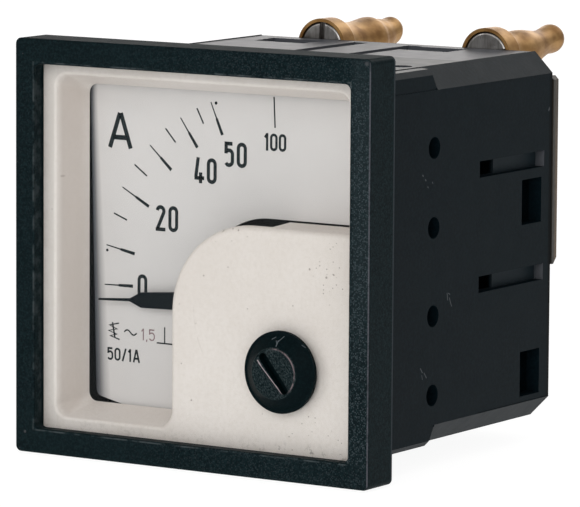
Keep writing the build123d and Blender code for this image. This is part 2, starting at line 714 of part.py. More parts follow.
with BuildPart() as left_terminal_strap:
    with BuildSketch(Plane.YZ.offset(TLX - RIM_R)):
        Polygon(*strap_profile(), align=None)
    extrude(amount=2 * RIM_R)
    with BuildSketch(at(45)):
        strap_outline(TLX)
    extrude(amount=15, mode=Mode.INTERSECT)
    # the round end is drawn into a cup whose rim stands round the screw head
    with BuildSketch(at(RING_Y0 + 0.3)):
        with Locations((TLX, TZ)):
            Circle(RIM_R)
            Circle(RIM_IN, mode=Mode.SUBTRACT)
    extrude(amount=RING_Y0 + 0.3 - RIM_Y)
    fillet(left_terminal_strap.faces().filter_by(Axis.Y).sort_by(Axis.Y)[0:1].sort_by(Axis.Y)[0].edges(), radius=0.12)

with BuildPart() as right_terminal_strap:
    with BuildSketch(Plane.YZ.offset(TRX - RIM_R)):
        Polygon(*strap_profile(), align=None)
    extrude(amount=2 * RIM_R)
    with BuildSketch(at(45)):
        strap_outline(TRX)
    extrude(amount=15, mode=Mode.INTERSECT)
    # the round end is drawn into a cup whose rim stands round the screw head
    with BuildSketch(at(RING_Y0 + 0.3)):
        with Locations((TRX, TZ)):
            Circle(RIM_R)
            Circle(RIM_IN, mode=Mode.SUBTRACT)
    extrude(amount=RING_Y0 + 0.3 - RIM_Y)
    fillet(right_terminal_strap.faces().filter_by(Axis.Y).sort_by(Axis.Y)[0:1].sort_by(Axis.Y)[0].edges(), radius=0.12)

# terminal posts: collar, waist, swelling and an end bulb that rises above the axis, hollow for the wire.
# Each row is a station: y, rise of the section's centre above the terminal axis, radius.
LEFT_POST = [(42.2, 0, 3.3), (43.4, 0, 2.78), (44.8, 0, 2.55), (46.2, 0, 2.5), (47.8, 0, 2.6), (49.4, 0.05, 2.75),
             (51.0, 0.14, 2.65), (52.4, 0.26, 2.25), (53.6, 0.42, 1.97), (54.6, 0.6, 1.78), (55.5, 0.78, 1.76),
             (56.3, 0.9, 1.45), (56.9, 0.95, 1.1)]
RIGHT_POST = [(42.2, 0, 3.3), (43.3, 0, 2.7), (44.6, 0, 2.45), (46.0, 0, 2.55), (47.6, 0.06, 2.55),
              (49.2, 0.16, 2.32), (50.6, 0.3, 2.02), (51.8, 0.49, 1.76), (52.9, 0.7, 1.64), (54.0, 0.92, 1.67),
              (55.0, 1.03, 1.76), (56.0, 1.04, 1.5), (56.7, 1.03, 1.1)]
SOCKET_R = 0.8
SOCKET_L = 4.5
LEFT_RISE, RIGHT_RISE = 0.92, 1.0     # socket axes above the terminal axis

with BuildPart() as left_terminal_post:
    for y, rise, r in LEFT_POST:
        with BuildSketch(at(y)):
            with Locations((TLX, TZ + rise)):
                Circle(r)
    loft()
    with BuildSketch(at(48.2)):
        with Locations((TLX, TZ)):
            Circle(1.25)
    extrude(amount=7, mode=Mode.SUBTRACT)
    with BuildSketch(at(LEFT_POST[-1][0] + 1)):
        with Locations((TLX, TZ + LEFT_RISE)):
            Circle(SOCKET_R)
    extrude(amount=SOCKET_L + 1, mode=Mode.SUBTRACT)

with BuildPart() as right_terminal_post:
    for y, rise, r in RIGHT_POST:
        with BuildSketch(at(y)):
            with Locations((TRX, TZ + rise)):
                Circle(r)
    loft()
    with BuildSketch(at(48.2)):
        with Locations((TRX, TZ)):
            Circle(1.25)
    extrude(amount=7, mode=Mode.SUBTRACT)
    with BuildSketch(at(RIGHT_POST[-1][0] + 1)):
        with Locations((TRX, TZ + RIGHT_RISE)):
            Circle(SOCKET_R)
    extrude(amount=SOCKET_L + 1, mode=Mode.SUBTRACT)

with BuildPart() as terminal_washers:
    with BuildSketch(at(RING_Y0)):
        with Locations((TLX, TZ), (TRX, TZ)):
            Circle(2.65)
            Circle(1.6, mode=Mode.SUBTRACT)
    extrude(amount=0.4)

with BuildPart() as terminal_screws:
    for x in (TLX, TRX):
        with BuildSketch(at(RING_Y0 - 0.4)):
            with Locations((x, TZ)):
                Circle(2.88)
        extrude(amount=1.15)
    heads = terminal_screws.faces().sort_by(Axis.Y)[0:2]
    fillet(heads[0].edges() + heads[1].edges(), radius=0.32)
    for x in (TLX, TRX):
        with BuildSketch(at(47.4)):
            with Locations((x, TZ)):
                Circle(1.24)
        extrude(amount=47.4 - RING_Y0 + 0.4)
        with BuildSketch(at(RING_Y0 - 1.55 + 0.7)):
            with Locations((x, TZ)):
                Rectangle(6, 0.75, rotation=88 if x < 0 else 14)
        extrude(amount=2, mode=Mode.SUBTRACT)

# ================================================================ coil leads, sleeved, inside the housing
LEAD_D = 0.9
LEFT_ROUTE = [(PX - 7.4, BOB_Y1, PZ + 4.4), (PX - 7.4, 27.0, PZ + 4.4), (-7.0, 29.3, 5.5), (TLX, 30.0, 12.4),
              (TLX, 34.0, 12.4)]
RIGHT_ROUTE = [(PX + 3.0, BOB_Y1, PZ + 8.2), (PX + 3.0, 27.0, PZ + 8.2), (TRX, 30.0, 12.4), (TRX, 34.0, 12.4)]


def lead_radii(route):
    """Bend radii as large as the neighbouring runs allow."""
    out = []
    for a, b, c in zip(route, route[1:], route[2:]):
        u, v = Vector(*b) - Vector(*a), Vector(*c) - Vector(*b)
        out.append(0.45 * min(u.length, v.length) / math.tan(math.radians(u.get_angle(v)) / 2))
    return out


with BuildPart() as left_coil_lead:
    with BuildLine() as left_path:
        FilletPolyline(*LEFT_ROUTE, radius=lead_radii(LEFT_ROUTE))
    with BuildSketch(at(BOB_Y1)):
        with Locations((LEFT_ROUTE[0][0], LEFT_ROUTE[0][2])):
            Circle(LEAD_D / 2)
    sweep(path=left_path.line)

with BuildPart() as right_coil_lead:
    with BuildLine() as right_path:
        FilletPolyline(*RIGHT_ROUTE, radius=lead_radii(RIGHT_ROUTE))
    with BuildSketch(at(BOB_Y1)):
        with Locations((RIGHT_ROUTE[0][0], RIGHT_ROUTE[0][2])):
            Circle(LEAD_D / 2)
    sweep(path=right_path.line)
for nm, rt, ld in (("left", LEFT_ROUTE, left_coil_lead), ("right", RIGHT_ROUTE, right_coil_lead)):
    print(nm, "lead bend radii", [round(r, 2) for r in lead_radii(rt)], "volume", round(ld.part.volume, 2))

# ================================================================ write the pieces
PIECES = {
    "front_bezel": front_bezel, "front_pane": front_pane, "mask_frame": mask_frame, "zero_screw": zero_screw,
    "scale_plate": scale_plate, "scale_screws": scale_screws, "movement_plate": movement_plate,
    "movement_screws": movement_screws, "pointer_stops": pointer_stops, "front_bridge": front_bridge,
    "bridge_screws": bridge_screws, "front_bearing_screw": front_bearing_screw, "rear_bridge": rear_bridge,
    "rear_bearing_screw": rear_bearing_screw, "zero_lever": zero_lever, "hairspring": hairspring,
    "hairspring_collet": hairspring_collet, "spindle": spindle, "pointer": pointer,
    "balance_weights": balance_weights, "damping_disc": damping_disc, "damping_magnet": damping_magnet,
    "moving_iron": moving_iron, "fixed_iron": fixed_iron, "coil_bobbin": coil_bobbin,
    "coil_winding": coil_winding, "shield_ring": shield_ring, "housing": housing,
    "terminal_board": terminal_board, "board_screws": board_screws,
    "left_terminal_strap": left_terminal_strap, "right_terminal_strap": right_terminal_strap,
    "left_terminal_post": left_terminal_post, "right_terminal_post": right_terminal_post,
    "terminal_washers": terminal_washers, "terminal_screws": terminal_screws,
    "left_coil_lead": left_coil_lead, "right_coil_lead": right_coil_lead,
}
for name, piece in PIECES.items():
    piece.part.label = name
    export_step(piece.part, "parts/" + name + ".step")
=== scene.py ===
import json
import math

import bmesh
import bpy
from mathutils import Matrix, Vector


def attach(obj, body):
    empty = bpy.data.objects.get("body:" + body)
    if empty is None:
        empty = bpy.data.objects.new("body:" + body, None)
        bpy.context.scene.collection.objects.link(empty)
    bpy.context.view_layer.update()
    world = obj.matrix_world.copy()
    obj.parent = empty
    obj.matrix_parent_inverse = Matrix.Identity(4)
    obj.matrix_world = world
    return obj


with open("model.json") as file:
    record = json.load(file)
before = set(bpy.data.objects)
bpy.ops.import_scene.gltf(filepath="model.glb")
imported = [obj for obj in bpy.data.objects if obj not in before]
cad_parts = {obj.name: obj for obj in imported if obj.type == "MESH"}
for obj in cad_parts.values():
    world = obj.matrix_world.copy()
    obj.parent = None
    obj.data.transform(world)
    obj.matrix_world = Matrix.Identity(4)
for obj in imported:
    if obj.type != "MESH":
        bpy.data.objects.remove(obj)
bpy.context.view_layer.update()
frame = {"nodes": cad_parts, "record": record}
NODES = frame["nodes"]
MM = 0.001


# ---------------------------------------------------------------- node helpers
class Tree:
    """Short names for the nodes of one material."""

    def __init__(self, name):
        self.m = bpy.data.materials.new(name)
        self.m.use_nodes = True
        self.nt = self.m.node_tree
        self.nt.nodes.clear()
        self.out = self.nt.nodes.new("ShaderNodeOutputMaterial")
        self.p = self.nt.nodes.new("ShaderNodeBsdfPrincipled")
        self.nt.links.new(self.p.outputs[0], self.out.inputs[0])
        tc = self.nt.nodes.new("ShaderNodeTexCoord")
        self.co = tc.outputs["Object"]

    def put(self, sock, value):
        if value is None:
            return
        if isinstance(value, bpy.types.NodeSocket):
            self.nt.links.new(value, sock)
        elif isinstance(value, (tuple, list)) and len(value) == 3 and sock.type == "RGBA":
            sock.default_value = (*value, 1)
        else:
            sock.default_value = value

    def math(self, op, a, b=None, c=None, clamp=False):
        n = self.nt.nodes.new("ShaderNodeMath")
        n.operation = op
        n.use_clamp = clamp
        for i, v in enumerate((a, b, c)):
            self.put(n.inputs[i], v)
        return n.outputs[0]

    def vec(self, op, a, b=None, scale=None):
        n = self.nt.nodes.new("ShaderNodeVectorMath")
        n.operation = op
        self.put(n.inputs[0], a)
        if b is not None:
            self.put(n.inputs[1], b)
        if scale is not None:
            self.put(n.inputs["Scale"], scale)
        return n.outputs["Value"] if op in ("DISTANCE", "LENGTH", "DOT_PRODUCT") else n.outputs[0]

    def noise(self, scale, detail=3.0, rough=0.55, co=None, dist=0.0, lac=2.0):
        n = self.nt.nodes.new("ShaderNodeTexNoise")
        n.inputs["Scale"].default_value = scale
        n.inputs["Detail"].default_value = detail
        n.inputs["Roughness"].default_value = rough
        n.inputs["Distortion"].default_value = dist
        n.inputs["Lacunarity"].default_value = lac
        self.put(n.inputs["Vector"], co or self.co)
        return n.outputs["Fac"]

    def cells(self, scale, co=None, feature="F1"):
        n = self.nt.nodes.new("ShaderNodeTexVoronoi")
        n.feature = feature
        n.inputs["Scale"].default_value = scale
        self.put(n.inputs["Vector"], co or self.co)
        return n

    def ramp(self, fac, stops, interp="LINEAR"):
        n = self.nt.nodes.new("ShaderNodeValToRGB")
        n.color_ramp.interpolation = interp
        while len(n.color_ramp.elements) < len(stops):
            n.color_ramp.elements.new(0.5)
        for e, (pos, col) in zip(n.color_ramp.elements, stops):
            e.position = pos
            e.color = (*col, 1) if isinstance(col, (tuple, list)) else (col, col, col, 1)
        self.put(n.inputs[0], fac)
        return n.outputs[0]

    def range(self, v, a, b, lo=0.0, hi=1.0, smooth=True):
        n = self.nt.nodes.new("ShaderNodeMapRange")
        n.interpolation_type = "SMOOTHSTEP" if smooth else "LINEAR"
        for i, x in enumerate((v, a, b, lo, hi)):
            self.put(n.inputs[i], x)
        return n.outputs[0]

    def mix(self, fac, a, b, blend="MIX"):
        n = self.nt.nodes.new("ShaderNodeMix")
        n.data_type = "RGBA"
        n.blend_type = blend
        self.put(n.inputs[0], fac)
        self.put(n.inputs[6], a)
        self.put(n.inputs[7], b)
        return n.outputs[2]

    def bump(self, height, strength, distance, normal=None):
        n = self.nt.nodes.new("ShaderNodeBump")
        n.inputs["Strength"].default_value = strength
        n.inputs["Distance"].default_value = distance
        self.put(n.inputs["Height"], height)
        self.put(n.inputs["Normal"], normal if normal is not None else self.flat())
        return n.outputs[0]

    def flat(self):
        """The shading normal, but the true one where a face lies square to an axis."""
        g = self.nt.nodes.new("ShaderNodeNewGeometry")
        n, tn = g.outputs["Normal"], g.outputs["True Normal"]
        ax = [self.math("ABSOLUTE", v) for v in self.axes(tn)]
        big = self.math("MAXIMUM", self.math("MAXIMUM", ax[0], ax[1]), ax[2])
        use = self.math("GREATER_THAN", big, 0.9995)
        return self.vec("ADD", n, self.vec("SCALE", self.vec("SUBTRACT", tn, n), None, use))

    def axes(self, co=None):
        n = self.nt.nodes.new("ShaderNodeSeparateXYZ")
        self.put(n.inputs[0], co or self.co)
        return n.outputs

    def scaled(self, x, y, z, co=None):
        return self.vec("MULTIPLY", co or self.co, (x, y, z))

    def spots(self, points, wobble=0.0, co=None):
        """Lowest distance to any of the points in units of its radius; points are (x, y or None, z, r) in mm."""
        src = co or self.co
        best = None
        for x, y, z, r in points:
            if y is None:
                flat = self.vec("MULTIPLY", src, (1, 0, 1))
                d = self.vec("DISTANCE", flat, (x * MM, 0, z * MM))
            elif x is None:
                flat = self.vec("MULTIPLY", src, (0, 1, 1))
                d = self.vec("DISTANCE", flat, (0, y * MM, z * MM))
            else:
                d = self.vec("DISTANCE", src, (x * MM, y * MM, z * MM))
            d = self.math("DIVIDE", d, r * MM)
            best = d if best is None else self.math("MINIMUM", best, d)
        if wobble:
            n = self.noise(5200, 2.0)
            best = self.math("ADD", best, self.math("MULTIPLY", self.math("SUBTRACT", n, 0.5), wobble))
        return best

    def strokes(self, lines, plane="xz", wobble=0.0):
        """Lowest distance to any of the straight strokes in units of its half width; (a0, b0, a1, b1, half width) in mm."""
        flat = self.vec("MULTIPLY", self.co, (1, 0, 1) if plane == "xz" else (0, 1, 1))
        best = None
        for a0, b0, a1, b1, w in lines:
            if plane == "xz":
                p, q = Vector((a0, 0, b0)) * MM, Vector((a1, 0, b1)) * MM
            else:
                p, q = Vector((0, a0, b0)) * MM, Vector((0, a1, b1)) * MM
            run = q - p
            rel = self.vec("SUBTRACT", flat, tuple(p))
            t = self.math("MULTIPLY", self.vec("DOT_PRODUCT", rel, tuple(run)), 1.0 / run.length_squared, clamp=True)
            near = self.vec("SCALE", tuple(run), None, t)
            d = self.math("DIVIDE", self.vec("DISTANCE", rel, near), w * MM)
            best = d if best is None else self.math("MINIMUM", best, d)
        if wobble:
            n = self.noise(3600, 2.0)
            best = self.math("ADD", best, self.math("MULTIPLY", self.math("SUBTRACT", n, 0.5), wobble))
        return best

    def setp(self, **kw):
        names = {"color": "Base Color", "rough": "Roughness", "metal": "Metallic", "normal": "Normal",
                 "spec": "Specular IOR Level", "alpha": "Alpha", "ior": "IOR", "coat": "Coat Weight",
                 "coat_rough": "Coat Roughness", "aniso": "Anisotropic", "sub": "Subsurface Weight",
                 "sub_scale": "Subsurface Scale", "trans": "Transmission Weight"}
        for k, v in kw.items():
            self.put(self.p.inputs[names[k]], v)


def srgb(r, g, b):
    return tuple(((c / 255) / 12.92 if c / 255 <= 0.04045 else ((c / 255 + 0.055) / 1.055) ** 2.4) for c in (r, g, b))


def grey(v, k=1.0):
    return tuple(c * k for c in srgb(v, v, v))


# ---------------------------------------------------------------- materials
def black_plastic(name, base, light, rough, grain_scale, grain, spec, marks=None, speckle=0.0):
    t = Tree(name)
    big = t.noise(160, 3)
    fine = t.noise(grain_scale, 2, 0.6)
    pits = t.cells(grain_scale * 0.6).outputs["Distance"]
    col = t.mix(t.range(fine, 0.40, 0.68), base, light)
    if speckle:
        # the moulded grain shows as fine pale and dark points on the front and the top, the sides are smoother
        cell = t.cells(grain_scale * 1.65)
        lit = t.math("MULTIPLY", t.range(t.axes(cell.outputs["Color"])[0], 0.35, 0.75),
                     t.range(cell.outputs["Distance"], 0.2, 0.7, 1.0, 0.0))
        front = t.range(t.axes()[1], -0.00512, -0.00495, 1.0, 0.15)
        right = t.range(t.axes()[0], -0.02, 0.0218, 0.12, 0.8)
        lit = t.math("MULTIPLY", t.math("MULTIPLY", lit, front), right)
        lit = t.math("MULTIPLY", lit, t.range(t.axes()[2], 0.0208, 0.0218, 1.0, 0.5))
        lit = t.math("MULTIPLY", lit, t.range(t.axes()[2], -0.0218, -0.0208, 0.5, 1.0))
        col = t.mix(t.math("MULTIPLY", lit, speckle), col, srgb(92, 104, 110))
    col = t.mix(t.math("MULTIPLY", t.range(big, 0.35, 0.75), 0.3), col, light)
    r = t.math("ADD", rough, t.math("MULTIPLY", t.math("SUBTRACT", t.noise(420, 3), 0.5), 0.12))
    height = t.math("ADD", t.math("MULTIPLY", fine, 0.7), t.math("MULTIPLY", pits, 0.5))
    if marks:
        col, r = marks(t, col, r)
    t.setp(color=col, rough=r, spec=spec, normal=t.bump(height, grain, 0.00005))
    return t.m


def bezel_marks(t, col, r):
    # rubbed corners and a few nicks, a little dust in the grain, and painted highlights along the outer edges
    x, y, z = t.axes()
    co = t.cells(1500)
    rnd = t.axes(co.outputs["Color"])[0]
    dust = t.math("MULTIPLY", t.math("GREATER_THAN", rnd, 0.98), t.math("LESS_THAN", co.outputs["Distance"], 0.13))
    dust = t.math("MULTIPLY", dust, t.range(t.noise(190, 3), 0.5, 0.64))
    col = t.mix(t.math("MULTIPLY", dust, 0.25), col, srgb(96, 106, 110))
    # the right bar is painted a little paler over its upper part
    pale_bar = t.math("MULTIPLY", t.range(x, 0.0212, 0.0222), t.range(t.math("ABSOLUTE", t.math("SUBTRACT", z, 0.009)), 0.006, 0.024, 1.0, 0.15))
    pale_bar = t.math("MULTIPLY", pale_bar, t.range(y, -0.00512, -0.005, 1.0, 0.0))
    col = t.mix(t.math("MULTIPLY", pale_bar, 0.14), col, srgb(66, 76, 80))
    # painted highlights on the outer edges: one along the right front edge, and a fainter one where the side meets the
    # back
    highlight_side = t.math("MULTIPLY", t.range(x, 0.02381, 0.02388), t.range(y, -0.00508, -0.00500, 1.0, 0.0))
    highlight_side = t.math("MULTIPLY", highlight_side, t.range(t.noise(900, 3), 0.3, 0.6, 0.5, 1.0))
    col = t.mix(t.math("MULTIPLY", highlight_side, 0.45), col, srgb(108, 108, 116))
    rear_highlight = t.math("MULTIPLY", t.range(x, 0.0238, 0.0239), t.range(y, -0.00032, -0.00018))
    col = t.mix(t.math("MULTIPLY", rear_highlight, 0.3), col, srgb(84, 90, 96))
    nick = t.spots([(-22.6, None, -21.6, 0.2), (-22.9, None, 22.2, 0.08), (23.5, None, 23.5, 0.3)], 0.5)
    col = t.mix(t.range(nick, 0.4, 1.2, 0.25, 0.0), col, srgb(110, 110, 114))
    # the edge round the opening is rubbed along the top and right
    edge = t.math("MAXIMUM", t.math("DIVIDE", t.math("ABSOLUTE", x), 0.02135), t.math("DIVIDE", t.math("ABSOLUTE", z), 0.0212))
    lip = t.range(t.math("ABSOLUTE", t.math("SUBTRACT", edge, 1.004)), 0.001, 0.007, 1.0, 0.0)
    lip = t.math("MULTIPLY", lip, t.range(t.noise(700, 3), 0.42, 0.66))
    col = t.mix(t.math("MULTIPLY", lip, 0.25), col, srgb(110, 118, 120))
    r = t.math("ADD", r, t.range(z, 0.0238, 0.02398, 0.0, 0.24))
    return col, r


def housing_marks(t, col, r):
    # faint rubbed patches, a few short scuffs and specks of dust
    x, y, z = t.axes()
    smear = t.noise(55, 4, 0.6, t.scaled(1, 0.35, 1))
    col = t.mix(t.range(smear, 0.58, 0.8, 0.0, 0.25), col, srgb(40, 42, 46))
    scuff = t.strokes([(15.6, -4.3, 15.75, -5.1, 0.07), (16.1, -4.9, 16.6, -5.9, 0.06), (15.9, -4.35, 16.2, -4.5, 0.06),
                       (9.9, -12.3, 10.3, -12.8, 0.07), (10.7, -12.9, 11.2, -13.5, 0.06), (10.2, -13.1, 10.35, -13.6, 0.05),
                       (38.55, 14.8, 38.75, 15.1, 0.12), (10.0, 9.7, 10.1, 9.6, 0.09), (10.6, 9.15, 10.7, 9.05, 0.09),
                       (11.1, 8.3, 11.2, 8.2, 0.07), (12.1, 8.75, 12.2, 8.6, 0.06)], "yz", 0.7)
    col = t.mix(t.range(scuff, 0.5, 1.15, 0.42, 0.0), col, srgb(120, 124, 128))
    co = t.cells(1100)
    rnd = t.axes(co.outputs["Color"])[0]
    dust = t.math("MULTIPLY", t.math("GREATER_THAN", rnd, 0.985), t.math("LESS_THAN", co.outputs["Distance"], 0.12))
    col = t.mix(t.math("MULTIPLY", dust, 0.3), col, srgb(110, 112, 116))
    r = t.math("ADD", r, t.range(smear, 0.5, 0.8, 0.0, 0.08))
    # painted light on the front-facing end walls and on the floors of the side pockets, and a painted shadow as a dark
    # band round the back edge
    geo = t.nt.nodes.new("ShaderNodeNewGeometry").outputs["True Normal"]
    to_front = t.range(t.axes(geo)[1], -0.3, -0.8)
    ax = t.math("ABSOLUTE", x)
    pocket_end_light = t.math("MULTIPLY", t.math("MULTIPLY", t.math("GREATER_THAN", ax, 0.0195), t.math("LESS_THAN", ax, 0.0216)),
                    t.math("GREATER_THAN", y, 0.036))
    level = t.math("MINIMUM", t.math("ABSOLUTE", t.math("SUBTRACT", z, 0.0092)), t.math("ABSOLUTE", t.math("ADD", z, 0.00415)))
    pocket_end_light = t.math("MULTIPLY", pocket_end_light, t.math("LESS_THAN", level, 0.0011))
    col = t.mix(t.math("MULTIPLY", pocket_end_light, t.math("MULTIPLY", to_front, 0.42)), col, srgb(120, 122, 128))
    pocket_floor_light = t.math("MULTIPLY", t.math("LESS_THAN", ax, 0.02055), t.math("GREATER_THAN", ax, 0.0200))
    pocket_floor_light = t.math("MULTIPLY", pocket_floor_light, t.math("GREATER_THAN", y, 0.022))
    pocket_floor_light = t.math("MULTIPLY", pocket_floor_light, t.math("LESS_THAN", level, 0.0011))
    col = t.mix(t.math("MULTIPLY", pocket_floor_light, 0.3), col, srgb(60, 70, 76))
    # painted light inside the slots below the top face
    slot_interior_light = t.math("MULTIPLY", t.math("LESS_THAN", ax, 0.0183), t.range(z, 0.0188, 0.0194))
    slot_interior_light = t.math("MULTIPLY", slot_interior_light, t.range(z, 0.02148, 0.02155, 1.0, 0.0))
    col = t.mix(t.math("MULTIPLY", slot_interior_light, 0.7), col, srgb(92, 94, 100))
    # painted shadow: a dark band round the back edge
    col = t.mix(t.math("MULTIPLY", t.range(y, 0.03865, 0.0388), 0.92), col, srgb(2, 6, 8))
    return col, r


MAT = {}
MAT["bezel_plastic"] = black_plastic("bezel_plastic", srgb(6, 18, 21), srgb(16, 31, 34), 0.5, 3600, 0.4, 0.035, bezel_marks,
                                     0.46)
MAT["housing_plastic"] = black_plastic("housing_plastic", srgb(7, 17, 22), srgb(11, 23, 28), 0.42, 2600, 0.16, 0.035,
                                       housing_marks)


def adjuster():
    t = Tree("adjuster_plastic")
    x, y, z = t.axes()
    fine = t.noise(3300, 3, 0.62)
    top = t.range(y, -0.00538, -0.00531, 1.0, 0.0)
    # fine brushed speckle across the worn flat top
    rot = t.nt.nodes.new("ShaderNodeMapping")
    rot.inputs["Rotation"].default_value = (0, math.radians(38), 0)
    t.put(rot.inputs["Vector"], t.co)
    scr = t.noise(6800, 3, 0.7, t.scaled(1, 1, 0.55, rot.outputs[0]))
    scr2 = t.noise(1500, 2, 0.5, t.scaled(0.1, 1, 1, rot.outputs[0]))
    worn = t.math("MULTIPLY", top, t.range(scr, 0.42, 0.68))
    col = t.mix(t.range(fine, 0.4, 0.75), srgb(1, 13, 16), srgb(6, 22, 25))
    col = t.mix(t.math("MULTIPLY", worn, 0.6), col, srgb(66, 78, 80))
    col = t.mix(t.math("MULTIPLY", t.range(scr2, 0.66, 0.74), 0.08), col, srgb(90, 94, 96))
    # painted highlight on the right of the flat top's rim, and a pale painted highlight along the slot's left edge
    rad = t.vec("DISTANCE", t.scaled(1, 0, 1), (0.01168, 0, -0.01185))
    rim_highlight = t.range(t.math("ABSOLUTE", t.math("SUBTRACT", rad, 0.00278)), 0.00003, 0.00012, 1.0, 0.0)
    highlight_side = t.range(t.math("ADD", t.math("MULTIPLY", t.math("SUBTRACT", x, 0.01168), 0.9),
                          t.math("MULTIPLY", t.math("ADD", z, 0.01185), 0.45)), 0.0006, 0.0019)
    rim_highlight = t.math("MULTIPLY", t.math("MULTIPLY", rim_highlight, highlight_side), t.range(t.noise(1700, 3), 0.3, 0.55))
    rim_highlight = t.math("MULTIPLY", rim_highlight, t.range(y, -0.0053, -0.0050, 1.0, 0.0))
    col = t.mix(t.math("MULTIPLY", rim_highlight, 0.62), col, srgb(138, 122, 126))
    slot_highlight = t.strokes([(9.75, -10.78, 12.8, -14.0, 0.055), (9.6, -10.5, 9.95, -10.95, 0.07), (12.3, -13.4, 12.85, -14.0, 0.07)],
                     "xz", 0.9)
    slot_highlight = t.math("MULTIPLY", t.range(slot_highlight, 0.5, 1.15, 0.8, 0.0), top)
    col = t.mix(slot_highlight, col, srgb(176, 164, 168))
    slot2 = t.strokes([(11.4, -11.0, 13.35, -13.1, 0.04)], "xz", 0.9)
    col = t.mix(t.math("MULTIPLY", t.range(slot2, 0.5, 1.15, 0.45, 0.0), top), col, srgb(110, 110, 112))
    nick = t.strokes([(11.9, -8.75, 11.86, -8.2, 0.07), (11.92, -8.25, 12.35, -7.72, 0.045), (11.6, -8.2, 11.84, -8.5, 0.04),
                      (10.95, -8.1, 11.35, -7.86, 0.05), (15.55, -8.95, 16.05, -9.35, 0.05), (14.6, -8.5, 15.1, -8.75, 0.03)],
                     "xz", 0.8)
    col = t.mix(t.range(nick, 0.5, 1.15, 0.55, 0.0), col, srgb(120, 128, 134))
    t.setp(color=col, rough=t.range(scr, 0.3, 0.8, 0.42, 0.6), spec=0.045,
           normal=t.bump(t.math("ADD", t.math("MULTIPLY", t.math("MULTIPLY", scr, top), 0.8), fine), 0.28, 0.00004))
    return t.m


MAT["adjuster_plastic"] = adjuster()


